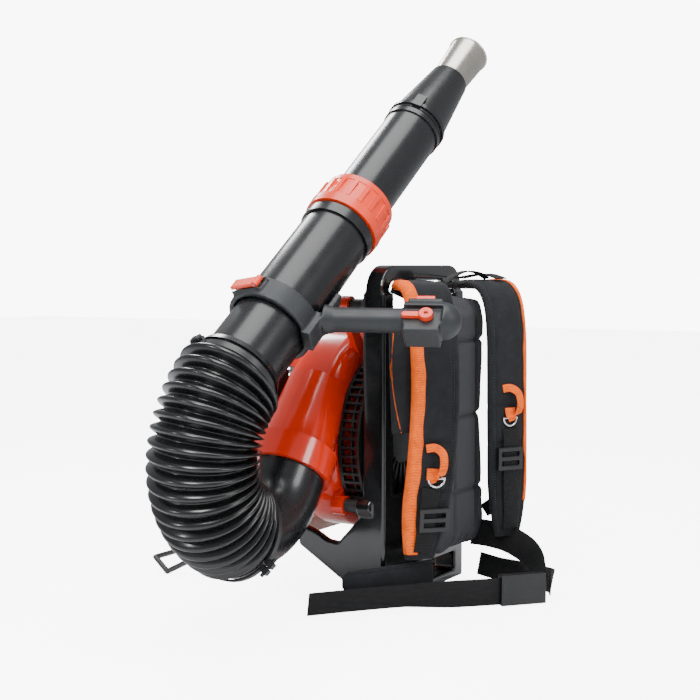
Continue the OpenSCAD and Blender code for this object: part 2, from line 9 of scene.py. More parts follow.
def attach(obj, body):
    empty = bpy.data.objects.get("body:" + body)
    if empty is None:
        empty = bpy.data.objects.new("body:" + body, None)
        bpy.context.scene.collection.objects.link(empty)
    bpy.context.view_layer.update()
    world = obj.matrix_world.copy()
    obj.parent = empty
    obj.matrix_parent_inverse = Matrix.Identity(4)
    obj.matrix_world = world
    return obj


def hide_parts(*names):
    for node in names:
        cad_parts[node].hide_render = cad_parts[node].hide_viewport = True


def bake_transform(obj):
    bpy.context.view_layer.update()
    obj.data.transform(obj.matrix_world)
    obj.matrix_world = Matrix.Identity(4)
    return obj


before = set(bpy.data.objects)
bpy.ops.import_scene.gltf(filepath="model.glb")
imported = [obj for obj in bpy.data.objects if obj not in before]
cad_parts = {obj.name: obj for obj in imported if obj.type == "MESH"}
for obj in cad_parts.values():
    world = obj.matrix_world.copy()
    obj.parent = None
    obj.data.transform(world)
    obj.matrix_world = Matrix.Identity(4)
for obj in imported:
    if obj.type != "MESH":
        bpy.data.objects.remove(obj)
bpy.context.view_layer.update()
MM = 0.001
PI = math.pi


# ---------------------------------------------------------------- places
def shift(x, y, z):
    return Matrix.Translation((x * MM, y * MM, z * MM))


def turn(axis, degrees):
    return Matrix.Rotation(math.radians(degrees), 4, axis)


def bend(radius, degrees):
    return shift(radius, 0, 0) @ turn("Y", degrees) @ shift(-radius, 0, 0)


# the air path, in mm, as part.scad places it
OUTLET = shift(-185, 100, 184) @ turn("Y", 216)
ELBOW_R, ELBOW_A = 95, 70.8
HOSE_R, HOSE_A = 117, 122
ELBOW_END = OUTLET @ shift(0, 0, 27) @ bend(ELBOW_R, ELBOW_A) @ turn("Z", -7)
TUBE = ELBOW_END @ bend(HOSE_R, HOSE_A)


# ---------------------------------------------------------------- camera, light, floor
def place_camera():
    data = bpy.data.cameras.new("camera")
    data.sensor_width = 36
    data.lens = 72.4
    camera = bpy.data.objects.new("camera", data)
    bpy.context.scene.collection.objects.link(camera)
    look_down = math.radians(3.45)
    camera.location = (-1.7795, -0.9177, 0.465)
    ahead = Vector((0.866, 0.5, -math.tan(look_down))).normalized()
    camera.rotation_euler = ahead.to_track_quat("-Z", "Y").to_euler()
    bpy.context.scene.camera = camera


def area_light(name, place, target, size, power, colour=(1, 1, 1)):
    data = bpy.data.lights.new(name, "AREA")
    data.shape = "DISK"
    data.size = size
    data.energy = power
    data.color = colour
    lamp = bpy.data.objects.new(name, data)
    lamp.location = place
    lamp.rotation_euler = (Vector(target) - Vector(place)).to_track_quat("-Z", "Y").to_euler()
    bpy.context.scene.collection.objects.link(lamp)


def light_room():
    """A white room: the camera sees it bright, the parts are lit more by the lamps than by it."""
    world = bpy.data.worlds.new("studio")
    bpy.context.scene.world = world
    world.use_nodes = True
    tree = world.node_tree
    fill = tree.nodes["Background"]
    fill.inputs[0].default_value = (0.95, 0.97, 1.0, 1)
    fill.inputs[1].default_value = 0.55
    backdrop = tree.nodes.new("ShaderNodeBackground")
    backdrop.inputs[0].default_value = (1.0, 1.0, 1.0, 1)
    backdrop.inputs[1].default_value = 9.0
    path = tree.nodes.new("ShaderNodeLightPath")
    mix = tree.nodes.new("ShaderNodeMixShader")
    tree.links.new(path.outputs["Is Camera Ray"], mix.inputs[0])
    tree.links.new(fill.outputs[0], mix.inputs[1])
    tree.links.new(backdrop.outputs[0], mix.inputs[2])
    tree.links.new(mix.outputs[0], tree.nodes["World Output"].inputs["Surface"])
    middle = (-0.05, 0.05, 0.35)
    area_light("top", (-0.3, -0.2, 2.2), middle, 1.6, 40)
    area_light("key", (-1.6, -0.2, 1.9), middle, 0.7, 34)
    area_light("front", (-0.4, -2.0, 1.3), middle, 0.7, 16)
    area_light("rim", (0.8, 1.3, 1.6), middle, 0.6, 22)
    area_light("strip", (-2.0, 0.9, 0.9), middle, 0.2, 7)


def plain(name, colour, rough):
    material = bpy.data.materials.new(name)
    material.use_nodes = True
    shader = material.node_tree.nodes["Principled BSDF"]
    shader.inputs["Base Color"].default_value = (*colour, 1)
    shader.inputs["Roughness"].default_value = rough
    return material


def lay_floor():
    mesh = bpy.data.meshes.new("floor")
    far = 8
    mesh.from_pydata([(-far, -far, 0), (far, -far, 0), (far, far, 0), (-far, far, 0)], [], [(0, 1, 2, 3)])
    floor = bpy.data.objects.new("floor", mesh)
    bpy.context.scene.collection.objects.link(floor)
    cloth_white = plain("floor_white", (0.93, 0.94, 0.96), 0.8)
    mesh.materials.append(cloth_white)
    # glow for the camera alone, so that the floor is bright and throws no light up at the parts
    tree = cloth_white.node_tree
    path = tree.nodes.new("ShaderNodeLightPath")
    glow = tree.nodes.new("ShaderNodeMath")
    glow.operation = "MULTIPLY"
    glow.inputs[1].default_value = 6.5
    tree.links.new(path.outputs["Is Camera Ray"], glow.inputs[0])
    tree.links.new(glow.outputs[0], tree.nodes["Principled BSDF"].inputs["Emission Strength"])
    tree.nodes["Principled BSDF"].inputs["Emission Color"].default_value = (1, 1, 1, 1)


# ---------------------------------------------------------------- materials
class Finish:
    """A material being built from nodes, in the object's own coordinates."""

    def __init__(self, name, colour, rough, metal=0.0):
        self.material = bpy.data.materials.new(name)
        self.material.use_nodes = True
        self.tree = self.material.node_tree
        self.shader = self.tree.nodes["Principled BSDF"]
        self.shader.inputs["Metallic"].default_value = metal
        self.colour, self.rough = colour, rough
        self.place = self.tree.nodes.new("ShaderNodeTexCoord").outputs["Object"]
        self.height = None
        self.shader.inputs["Base Color"].default_value = (*colour, 1)
        self.shader.inputs["Roughness"].default_value = rough

    def link(self, out, into):
        self.tree.links.new(out, into)

    def noise(self, scale, detail=3.0, stretch=(1, 1, 1)):
        mapping = self.tree.nodes.new("ShaderNodeMapping")
        mapping.inputs["Scale"].default_value = stretch
        self.link(self.place, mapping.inputs["Vector"])
        node = self.tree.nodes.new("ShaderNodeTexNoise")
        node.inputs["Scale"].default_value = scale
        node.inputs["Detail"].default_value = detail
        self.link(mapping.outputs["Vector"], node.inputs["Vector"])
        return node.outputs["Fac"]

    def wave(self, scale, axis, distort=0.0):
        node = self.tree.nodes.new("ShaderNodeTexWave")
        node.wave_type = "BANDS"
        node.bands_direction = axis
        node.inputs["Scale"].default_value = scale
        node.inputs["Distortion"].default_value = distort
        node.inputs["Detail"].default_value = 0
        self.link(self.place, node.inputs["Vector"])
        return node.outputs["Fac"]

    def math(self, kind, a, b):
        node = self.tree.nodes.new("ShaderNodeMath")
        node.operation = kind
        for socket, value in zip(node.inputs, (a, b)):
            if isinstance(value, (int, float)):
                socket.default_value = value
            else:
                self.link(value, socket)
        return node.outputs[0]

    def spread(self, fac, low, high):
        node = self.tree.nodes.new("ShaderNodeMapRange")
        node.inputs["To Min"].default_value = low
        node.inputs["To Max"].default_value = high
        self.link(fac, node.inputs["Value"])
        return node.outputs["Result"]

    def tint(self, fac, dark, light, span=(0.3, 0.7)):
        ramp = self.tree.nodes.new("ShaderNodeValToRGB")
        ramp.color_ramp.elements[0].position = span[0]
        ramp.color_ramp.elements[1].position = span[1]
        ramp.color_ramp.elements[0].color = (*dark, 1)
        ramp.color_ramp.elements[1].color = (*light, 1)
        self.link(fac, ramp.inputs["Fac"])
        self.link(ramp.outputs["Color"], self.shader.inputs["Base Color"])

    def vary(self, fac, low, high):
        self.link(self.spread(fac, low, high), self.shader.inputs["Roughness"])

    def bump(self, height, depth, strength=1.0):
        node = self.tree.nodes.new("ShaderNodeBump")
        node.inputs["Distance"].default_value = depth
        node.inputs["Strength"].default_value = strength
        self.link(height, node.inputs["Height"])
        if self.height is not None:
            self.link(self.height, node.inputs["Normal"])
        self.height = node.outputs["Normal"]
        self.link(self.height, self.shader.inputs["Normal"])


def shade(colour, factor):
    return tuple(c * factor for c in colour)


def moulded(name, colour, rough, grain=0.00005, coat=0.0, grain_scale=900):
    f = Finish(name, colour, rough)
    f.tint(f.noise(9, 4), shade(colour, 0.86), shade(colour, 1.14))
    f.vary(f.noise(35, 5), rough * 0.82, rough * 1.25)
    f.bump(f.noise(14, 2), 0.0006, 0.25)
    f.bump(f.noise(grain_scale, 2), grain)
    f.shader.inputs["Coat Weight"].default_value = coat
    f.shader.inputs["Coat Roughness"].default_value = 0.06
    return f.material


def metal(name, colour, rough, stretch=(1, 1, 1), scale=300, depth=0.00002):
    f = Finish(name, colour, rough, 1.0)
    f.tint(f.noise(25, 4), shade(colour, 0.82), colour)
    f.vary(f.noise(scale, 4, stretch), rough * 0.7, rough * 1.4)
    f.bump(f.noise(scale, 3, stretch), depth)
    return f.material


def cloth(name, colour, rough, thread=0.0011, depth=0.00018, sheen=0.06):
    f = Finish(name, colour, rough)
    scale = PI / (10 * thread)
    across = f.wave(scale, "X", 0.4)
    along = f.wave(scale, "Z", 0.4)
    deep = f.wave(scale, "Y", 0.4)
    weave = f.math("MULTIPLY", f.math("ADD", across, deep), along)
    f.tint(f.math("ADD", f.math("MULTIPLY", weave, 0.25), f.noise(60, 4)),
           shade(colour, 0.7), shade(colour, 1.35), (0.35, 0.95))
    f.bump(f.noise(45, 3), 0.0012, 0.35)
    f.bump(weave, depth)
    f.shader.inputs["Sheen Weight"].default_value = sheen
    f.shader.inputs["Sheen Roughness"].default_value = 0.5
    f.shader.inputs["Specular IOR Level"].default_value = 0.22
    return f.material


def tape(name, colour, rib=0.0016, depth=0.00035, rough=0.75):
    f = Finish(name, colour, rough)
    ribs = f.wave(PI / (10 * rib), "DIAGONAL", 0.3)
    f.tint(f.math("ADD", f.math("MULTIPLY", ribs, 0.35), f.noise(90, 3)),
           shade(colour, 0.72), shade(colour, 1.15), (0.35, 0.9))
    f.bump(ribs, depth)
    f.bump(f.noise(500, 2), 0.0001)
    f.shader.inputs["Sheen Weight"].default_value = 0.02
    f.shader.inputs["Specular IOR Level"].default_value = 0.25
    return f.material


def make_materials():
    m = {}
    m["frame"] = moulded("frame_gloss_black", (0.006, 0.0065, 0.007), 0.16, 0.00001, 0.3)
    m["tube"] = moulded("tube_black", (0.007, 0.008, 0.009), 0.27, 0.00003, 0.1)
    m["hose"] = moulded("hose_rubber", (0.004, 0.0045, 0.005), 0.25, 0.00002, 0.1)
    m["grip"] = moulded("grip_matte", (0.013, 0.016, 0.018), 0.5, 0.00009)
    m["black"] = moulded("moulded_black", (0.007, 0.0075, 0.008), 0.42, 0.00005)
    m["rubber"] = moulded("soft_rubber", (0.018, 0.018, 0.018), 0.62, 0.00008)
    m["housing"] = moulded("housing_red_orange", (0.74, 0.024, 0.002), 0.17, 0.00001, 0.3)
    m["impeller"] = moulded("impeller_red", (0.45, 0.02, 0.006), 0.35, 0.00003)
    m["orange"] = moulded("orange_plastic", (0.84, 0.05, 0.010), 0.32, 0.00004, 0.1)
    m["tank"] = moulded("tank_milky", (0.72, 0.70, 0.60), 0.33, 0.00003)
    m["white"] = moulded("nylon_white", (0.75, 0.73, 0.68), 0.4)
    m["ceramic"] = moulded("ceramic_white", (0.85, 0.85, 0.82), 0.12, 0.00001, 0.4)
    m["steel"] = metal("zinc_steel", (0.62, 0.61, 0.59), 0.28)
    m["brushed"] = metal("nozzle_brushed_steel", (0.60, 0.565, 0.50), 0.26, (1, 1, 0.04), 700, 0.00003)
    m["chrome"] = metal("ring_chrome", (0.82, 0.82, 0.83), 0.1)
    m["cast"] = metal("cast_aluminium", (0.56, 0.56, 0.57), 0.46, (1, 1, 1), 420, 0.00012)
    m["painted"] = moulded("painted_rod", (0.02, 0.02, 0.022), 0.35)
    m["heat"] = metal("muffler_steel", (0.30, 0.27, 0.25), 0.5, (1, 1, 1), 160, 0.0001)
    m["foam"] = moulded("foam_filter", (0.40, 0.34, 0.22), 0.9, 0.0006, 0.0, 260)
    m["fabric"] = cloth("harness_fabric", (0.011, 0.012, 0.014), 0.8)
    m["mesh_pad"] = cloth("pad_spacer_mesh", (0.0045, 0.005, 0.0055), 0.88, 0.0024, 0.0006, 0.03)
    m["webbing"] = tape("black_webbing", (0.006, 0.006, 0.0065))
    m["trim"] = tape("orange_trim", (0.95, 0.13, 0.0))
    m["thread"] = moulded("thread_grey", (0.05, 0.05, 0.055), 0.7)
    return m


NODE_FINISH = {
    "frame": "back_frame",
    "tube": "elbow lower_tube tube_ring upper_tube nozzle_cone",
    "grip": "handle_ring control_grip control_pod",
    "black": "intake_screen air_filter_cover filter_knob starter_housing fuel_cap ignition_coil "
    "strap_adjusters buckle_socket buckle_tab starter_handle",
    "rubber": "av_mounts plug_cap primer_bulb",
    "housing": "fan_housing_front fan_housing_rear engine_cover",
    "impeller": "impeller",
    "orange": "cam_lever throttle_trigger throttle_lock_lever lock_collar choke_lever",
    "tank": "fuel_tank",
    "white": "starter_pulley",
    "ceramic": "spark_plug",
    "steel": "mount_bolts housing_screws impeller_nut crankshaft crank_bearings connecting_rod "
    "cam_pin control_pins",
    "brushed": "steel_nozzle",
    "chrome": "d_rings",
    "cast": "crankcase cylinder piston carburettor",
    "painted": "rear_stand lower_hose_clamp upper_hose_clamp",
    "heat": "muffler",
    "foam": "air_filter",
}


def dress_nodes():
    for finish, names in NODE_FINISH.items():
        for name in names.split():
            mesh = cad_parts[name].data
            mesh.materials.clear()
            mesh.materials.append(MATERIALS[finish])


# ---------------------------------------------------------------- mesh tools
def new_piece(name, mesh, body, finish, replaces=()):
    piece = bpy.data.objects.new(name, mesh)
    bpy.context.scene.collection.objects.link(piece)
    mesh.materials.append(MATERIALS[finish])
    mesh.shade_smooth()
    if body:
        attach(piece, body)
    if replaces:
        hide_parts(*replaces)
    return piece


def loft(name, rings, closed=False):
    """A skin over rings of equal length, capped at both ends unless it closes on itself."""
    n = len(rings[0])
    points = [p for ring in rings for p in ring]
    faces = []
    count = len(rings)
    for i in range(count if closed else count - 1):
        j = (i + 1) % count
        for k in range(n):
            m = (k + 1) % n
            faces.append((i * n + k, i * n + m, j * n + m, j * n + k))
    if not closed:
        faces.append(tuple(range(n - 1, -1, -1)))
        faces.append(tuple((count - 1) * n + k for k in range(n)))
    mesh = bpy.data.meshes.new(name)
    mesh.from_pydata([tuple(p) for p in points], [], faces)
    tidy_normals(mesh)
    return mesh


def tidy_normals(mesh):
    bm = bmesh.new()
    bm.from_mesh(mesh)
    bmesh.ops.recalc_face_normals(bm, faces=bm.faces)
    bm.to_mesh(mesh)
    bm.free()


def smooth_path(points, steps=10):
    """Catmull-Rom through the points."""
    out = []
    for i in range(len(points) - 1):
        p0 = points[max(i - 1, 0)]
        p1, p2 = points[i], points[i + 1]
        p3 = points[min(i + 2, len(points) - 1)]
        for k in range(steps):
            t = k / steps
            out.append(0.5 * ((2 * p1) + (p2 - p0) * t + (2 * p0 - 5 * p1 + 4 * p2 - p3) * t * t
                              + (3 * p1 - p0 - 3 * p2 + p3) * t ** 3))
    out.append(points[-1].copy())
    return out


def join_meshes(name, objects):
    bm = bmesh.new()
    for o in objects:
        bm.from_mesh(o.data)
    mesh = bpy.data.meshes.new(name)
    bm.to_mesh(mesh)
    bm.free()
    return mesh


def apply_modifiers(piece):
    graph = bpy.context.evaluated_depsgraph_get()
    mesh = bpy.data.meshes.new_from_object(piece.evaluated_get(graph))
    old = piece.data
    piece.modifiers.clear()
    piece.data = mesh
    bpy.data.meshes.remove(old)


def soften(name, nodes, voxel, rounds, body, finish):
    """One moulded skin over CAD nodes: remeshed, then relaxed so that its edges are rounded."""
    mesh = join_meshes(name, [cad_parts[n] for n in nodes])
    piece = new_piece(name, mesh, body, finish, nodes)
    remesh = piece.modifiers.new("remesh", "REMESH")
    remesh.mode = "VOXEL"
    remesh.voxel_size = voxel * MM
    remesh.use_smooth_shade = True
    relax = piece.modifiers.new("relax", "SMOOTH")
    relax.factor = 0.5
    relax.iterations = rounds
    apply_modifiers(piece)
    return piece


# ---------------------------------------------------------------- air path
HOSE_LAP = 6.6
HOSE_RIBS = 19


def bellows():
    """Convoluted hose: thick rounded ribs on one arc, with a skin 2 mm thick."""
    per_rib, round_steps = 12, 112
    root, crest, skin, sleeve, sag_most = 57.5, 69.2, 2.0, 63.0, 5.0
    stations = [(a, sleeve) for a in (0.05, 3.0, HOSE_LAP - 0.6)]
    span = HOSE_A - 0.3 - HOSE_LAP
    for i in range(HOSE_RIBS * per_rib + 1):
        u = i / per_rib
        swell = (0.5 - 0.5 * math.cos(2 * PI * u)) ** 0.62
        stations.append((HOSE_LAP + span * u / HOSE_RIBS, root + (crest - root) * swell))

    def ring(angle, radius):
        place = ELBOW_END @ bend(HOSE_R, angle)
        sag = sag_most * math.sin(PI * angle / HOSE_A) ** 2
        points = []
        for k in range(round_steps):
            a = 2 * PI * k / round_steps
            outward = radius + sag * max(0.0, -math.cos(a)) ** 1.5
            points.append(place @ Vector((outward * math.cos(a) * MM, outward * math.sin(a) * MM, 0)))
        return points

    rings = [ring(a, r) for a, r in stations] + [ring(a, r - skin) for a, r in reversed(stations)]
    piece = new_piece("bellows", loft("bellows", rings, closed=True), None, "hose",
                      ["bellows_hose"])
    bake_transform(piece)


CABLE_TURN = 40
CABLE_D = 7
CABLE_ROUTE = [(55, 0, 91.7), (55.5, 0, 85), (56.5, 0, 79), (57, 0, 70), (57, 0, 58), (56.5, 0, 46),
               (55.5, 0, 36), (54.5, 0, 28), (54, 0, 20.2)]


def throttle_conduit():
    """Corrugated conduit of the throttle cable, from the handle ring to the hose cuff."""
    place = TUBE @ turn("Z", CABLE_TURN)
    route = [place @ (Vector(p) * MM) for p in CABLE_ROUTE]
    fine = smooth_path(route, 14)
    sides = 20
    rings = []
    side = place.to_3x3() @ Vector((0, 1, 0))
    for i, p in enumerate(fine):
        ahead = (fine[min(i + 1, len(fine) - 1)] - fine[max(i - 1, 0)]).normalized()
        out = side.cross(ahead).normalized()
        r = CABLE_D / 2 * MM * (1.0 if i % 4 in (0, 1) else 0.86)
        rings.append([p + r * (math.cos(a) * out + math.sin(a) * side)
                      for a in (2 * PI * k / sides for k in range(sides))])
    piece = new_piece("throttle_conduit", loft("throttle_conduit", rings), "tube", "rubber",
                      ["throttle_cable"])


# ---------------------------------------------------------------- harness
STRAP_W, STRAP_T = 66, 13
LEFT_PATH = [(20, 436), (-20, 438), (-56, 434), (-75, 412), (-81, 370), (-82, 325), (-82, 280),
             (-82, 235), (-81, 190), (-80, 150), (-79, 110), (-78, 80)]
RIGHT_PATH = [(2, 436), (-30, 438), (-56, 432), (-68, 410), (-74, 370), (-77, 325), (-78, 280),
              (-76, 235), (-72, 190), (-66, 150), (-60, 110), (-55, 72)]
AT_RIGHT = shift(-66, -36, 0) @ turn("Z", -45)
AT_LEFT = shift(91, -46, 0) @ turn("Z", -30)


class StrapLine:
    """The middle line of a strap in its own YZ plane, by distance along it in mm."""

    def __init__(self, points, foot=0.0, crown=0.0):
        """foot and crown are how far the two ends swing across, in mm."""
        line = []
        for y, z in points:
            low, high = max(0, (300 - z) / 230), max(0, (z - 340) / 100)
            line.append(Vector((foot * low ** 1.5 + crown * high ** 1.5, y, z)))
        self.points = smooth_path(line, 16)
        self.far = [0.0]
        for a, b in zip(self.points, self.points[1:]):
            self.far.append(self.far[-1] + (b - a).length)
        self.length = self.far[-1]

    def at(self, s):
        s = min(max(s, 0), self.length)
        i = max(k for k, d in enumerate(self.far[:-1]) if d <= s)
        a, b = self.points[i], self.points[i + 1]
        ahead = (self.points[min(i + 2, len(self.points) - 1)] - self.points[max(i - 1, 0)]).normalized()
        out = Vector((0, ahead.z, -ahead.y)).normalized()
        return a.lerp(b, (s - self.far[i]) / max(self.far[i + 1] - self.far[i], 1e-6)), out

    def at_height(self, z):
        s = self.length * 0.25
        while s < self.length and self.at(s)[0].z > z:
            s += 1
        return s


def strap_width(s, length, wide, taper):
    end = min(1.0, (length - s) / taper) if taper else 1.0
    start = min(1.0, s / 14)
    return wide * (0.62 + 0.38 * math.sin(PI / 2 * end)) * (0.9 + 0.1 * start)


def strap_section(half_w, half_t, steps=56, power=0.42):
    """Soft-edged section, thinner over the sewn lines, as (across, out) pairs."""
    out = []
    for k in range(steps):
        a = 2 * PI * k / steps
        x = math.copysign(abs(math.cos(a)) ** power, math.cos(a))
        y = math.copysign(abs(math.sin(a)) ** 0.8, math.sin(a))
        groove = 0.30 * math.exp(-((abs(x) - 0.72) / 0.05) ** 2)
        out.append((x * half_w, y * half_t * (1 - groove)))
    return out


def strap(name, line, place, node, seams, taper=90):
    rings = []
    steps = int(line.length / 2.5)
    for i in range(steps + 1):
        s = line.length * i / steps
        centre, out = line.at(s)
        half_t = STRAP_T / 2 * min(1.0, 0.45 + s / 40, 0.45 + (line.length - s) / 40)
        for seam in seams:
            half_t *= 1 - 0.35 * math.exp(-((s - seam) / 3.2) ** 2)
        half_w = strap_width(s, line.length, STRAP_W / 2, taper)
        ring = []
        for across, lift in strap_section(half_w, half_t):
            wobble = 1.1 * noise.noise(Vector((across / 26, s / 34, 3.7 if lift > 0 else 8.1)))
            p = centre + Vector((across, 0, 0)) + out * (-lift + wobble * abs(lift) / half_t)
            ring.append(place @ (p * MM))
        rings.append(ring)
    piece = new_piece(name, loft(name, rings), "chassis", "fabric", [node])
    return piece


def edge_trim(name, line, place, side, s0, s1, wide=15, lift=0.9, half_w=STRAP_W / 2, thick=STRAP_T, inset=0,
              taper=90):
    """Tape folded over one edge of a strap."""
    rings = []
    steps = int((s1 - s0) / 3)
    outer_y = thick / 2
    for i in range(steps + 1):
        s = s0 + (s1 - s0) * i / steps
        centre, out = line.at(s)
        w = strap_width(s, line.length, half_w, taper)
        wave = 0.7 * math.sin(s / 17) + 0.5 * math.sin(s / 7.3)
        path = [(w - wide + wave - inset, -outer_y - 0.2), (w - wide * 0.5, -outer_y - lift),
                (w - 2.5, -outer_y * 0.86 - lift), (w + lift, -outer_y * 0.25), (w + lift, outer_y * 0.25),
                (w - 2.5, outer_y * 0.86 + lift), (w - wide * 0.45, outer_y + lift * 0.6)]
        inner = [(x - 1.4, y * 0.8) for x, y in reversed(path)]
        ring = [place @ ((centre + Vector((side * x, 0, 0)) + out * -y) * MM) for x, y in path + inner]
        rings.append(ring)
    return new_piece(name, loft(name, rings), "chassis", "trim", ())


def ribbon(name, points, across, wide, thick, finish, steps=8, body="chassis"):
    """Flat webbing along points (mm, row frame); across is the width direction at each point or one for all."""
    fine = smooth_path([Vector(p) for p in points], steps)
    directions = across if isinstance(across, list) else [across] * len(points)
    rings = []
    count = len(fine)
    for i, p in enumerate(fine):
        u = i / (count - 1) * (len(directions) - 1)
        k = min(int(u), len(directions) - 2)
        side = Vector(directions[k]).lerp(Vector(directions[k + 1]), u - k).normalized()
        ahead = (fine[min(i + 1, count - 1)] - fine[max(i - 1, 0)]).normalized()
        side = (side - ahead * side.dot(ahead)).normalized()
        out = ahead.cross(side)
        h, t = wide / 2, thick / 2
        section = [(-h, -t * 0.4), (-h + 1, -t), (0, -t), (h - 1, -t), (h, -t * 0.4),
                   (h, t * 0.4), (h - 1, t), (0, t), (-h + 1, t), (-h, t * 0.4)]
        rings.append([(p + side * a + out * b) * MM for a, b in section])
    return new_piece(name, loft(name, rings), body, finish, ())


def in_strap(place, line, items):
    """Points given as (across, height, off the face), in mm, put on a strap's outer face."""
    out = []
    for x, z, off in items:
        centre, normal = line.at(line.at_height(z))
        out.append(place @ ((centre + Vector((x, 0, 0)) + normal * (STRAP_T / 2 + off)) * MM) / MM)
    return out


def pull_loop(name, line, place, z, mirror=1):
    side = place.to_3x3() @ Vector((0, 0, 1))
    points = in_strap(place, line, [(-12 * mirror, z + 30, 1.5), (0, z + 31, 4), (9 * mirror, z + 24, 9),
                                    (11 * mirror, z + 10, 12), (10 * mirror, z - 2, 9), (4 * mirror, z - 9, 4),
                                    (-4 * mirror, z - 12, 2.5)])
    flat = place.to_3x3() @ Vector((1, 0, 0))
    sides = [side, side, side + flat * 1.5, flat, flat, flat + side, side]
    ribbon(name, points, sides, 11, 1.8, "trim")


def d_ring_tab(name, line, place, z):
    points = in_strap(place, line, [(0, z + 12, 1.6), (0, z + 4, 2.8), (0, z - 2, 5.5), (0, z + 3, 3.6)])
    ribbon(name, points, place.to_3x3() @ Vector((1, 0, 0)), 17, 1.6, "trim")


def strap_webbing(name, line, place, z0, z1, width=25, lift=1.2):
    items = []
    steps = 10
    for i in range(steps + 1):
        z = z0 + (z1 - z0) * i / steps
        items.append((0, z, lift + (1.5 if 0 < i < steps else 0)))
    points = in_strap(place, line, items)
    ribbon(name, points, place.to_3x3() @ Vector((1, 0, 0)), width, 1.6, "webbing")


def strap_lining(line, place):
    """The lining that shows beyond the right strap's inner edge, with its piping."""
    lining, piping = [], []
    for k in range(9):
        z = 404 - k * 20
        width = 15 * math.sin(PI * (0.12 + 0.80 * k / 8)) + 4
        lining.append((-STRAP_W / 2 - width * 0.45, z, -STRAP_T - 3))
        piping.append((-STRAP_W / 2 - width * 1.35, z, -STRAP_T - 2))
    across = place.to_3x3() @ Vector((1, 0, 0))
    ribbon("lining_right", in_strap(place, line, lining), across, 38, 5, "fabric")
    ribbon("lining_piping_right", in_strap(place, line, piping), across, 3.4, 3.0, "trim")


def make_straps(right, left):
    right_seams = [right.at_height(z) for z in (232, 168)] + [40]
    left_seams = [left.at_height(z) for z in (268, 215)] + [40]
    strap("strap_right", right, AT_RIGHT, "shoulder_strap_right", right_seams)
    strap("strap_left", left, AT_LEFT, "shoulder_strap_left", left_seams)
    edge_trim("trim_right_front", right, AT_RIGHT, -1, 18, right.length - 8, 16)
    edge_trim("trim_left_front", left, AT_LEFT, 1, 18, left.length - 50, 6, 0.7)
    strap_lining(right, AT_RIGHT)
    pull_loop("pull_loop_right", right, AT_RIGHT, 195)
    pull_loop("pull_loop_left", left, AT_LEFT, 262)
    d_ring_tab("ring_tab_right", right, AT_RIGHT, 186)
    d_ring_tab("ring_tab_left", left, AT_LEFT, 253)
    strap_webbing("adjust_webbing_right", right, AT_RIGHT, 172, 84)
    strap_webbing("adjust_webbing_left", left, AT_LEFT, 236, 92)


# ---------------------------------------------------------------- back pad
PAD_HALF, PAD_LOW, PAD_HIGH = 76, 60, 425
PAD_BACK, PAD_FRONT = -15, -78


def back_pad():
    """Crowned pad blown up by a cloth simulation, then sewn into channels."""
    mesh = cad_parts["back_pad"].data.copy()
    piece = new_piece("back_cushion", mesh, "chassis", "mesh_pad", ["back_pad"])
    middle = Vector((0, (PAD_BACK + PAD_FRONT) / 2, (PAD_LOW + PAD_HIGH) / 2)) * MM
    for v in mesh.vertices:
        d = v.co - middle
        v.co = middle + Vector((d.x * 0.97, d.y * 0.72, d.z * 0.985))
    remesh = piece.modifiers.new("remesh", "REMESH")
    remesh.mode = "VOXEL"
    remesh.voxel_size = 0.006
    apply_modifiers(piece)
    start = [v.co.copy() for v in piece.data.vertices]
    inflate(piece, 9 * MM, start)
    finer = piece.modifiers.new("finer", "SUBSURF")
    finer.levels = 2
    apply_modifiers(piece)
    for v in piece.data.vertices:
        x, z = v.co.x / MM, v.co.z / MM
        front = v.co.y < middle.y
        depth = 0.0
        for seam_z in (150, 255, 360):
            depth += math.exp(-((z - seam_z) / 3.5) ** 2)
        for seam_x in (-34, 34):
            depth += math.exp(-((x - seam_x) / 3.5) ** 2)
        edge = math.exp(-((abs(x) - PAD_HALF) / 3) ** 2)
        if front:
            v.co.y += (4.5 * min(depth, 1.2) + 2.0 * edge) * MM
        v.co.y = min(v.co.y, (PAD_BACK - 0.4) * MM)
    piece.data.shade_smooth()


def inflate(piece, cap, start):
    cloth_mod = piece.modifiers.new("cloth", "CLOTH")
    settings = cloth_mod.settings
    settings.quality = 6
    settings.mass = 0.3
    settings.tension_stiffness = 12
    settings.compression_stiffness = 12
    settings.shear_stiffness = 6
    settings.bending_stiffness = 1.2
    settings.use_pressure = True
    settings.uniform_pressure_force = 4
    settings.effector_weights.gravity = 0
    scene = bpy.context.scene
    for number in range(1, 21):
        scene.frame_set(number)
    graph = bpy.context.evaluated_depsgraph_get()
    blown = bpy.data.meshes.new_from_object(piece.evaluated_get(graph))
    moved = [v.co.copy() for v in blown.vertices]
    piece.modifiers.clear()
    for v, a, b in zip(piece.data.vertices, start, moved):
        d = b - a
        if d.length > cap:
            d = d.normalized() * cap
        v.co = a + d
    bpy.data.meshes.remove(blown)
    scene.frame_set(1)


# ---------------------------------------------------------------- belt
BELT_NEAR = [(-229, 41), (-180, -6), (-130, -54), (-80, -102), (-34, -146)]
BELT_FAR = [(24, -196), (48, -188), (68, -166), (80, -130), (82, -96), (80, -62)]
HIP_NEAR = [(-84, -66), (-118, -44), (-150, -16), (-186, 14)]
NEAR_W, FAR_W, BELT_T = 37, 34, 2.2
UP = Vector((0, 0, 1))


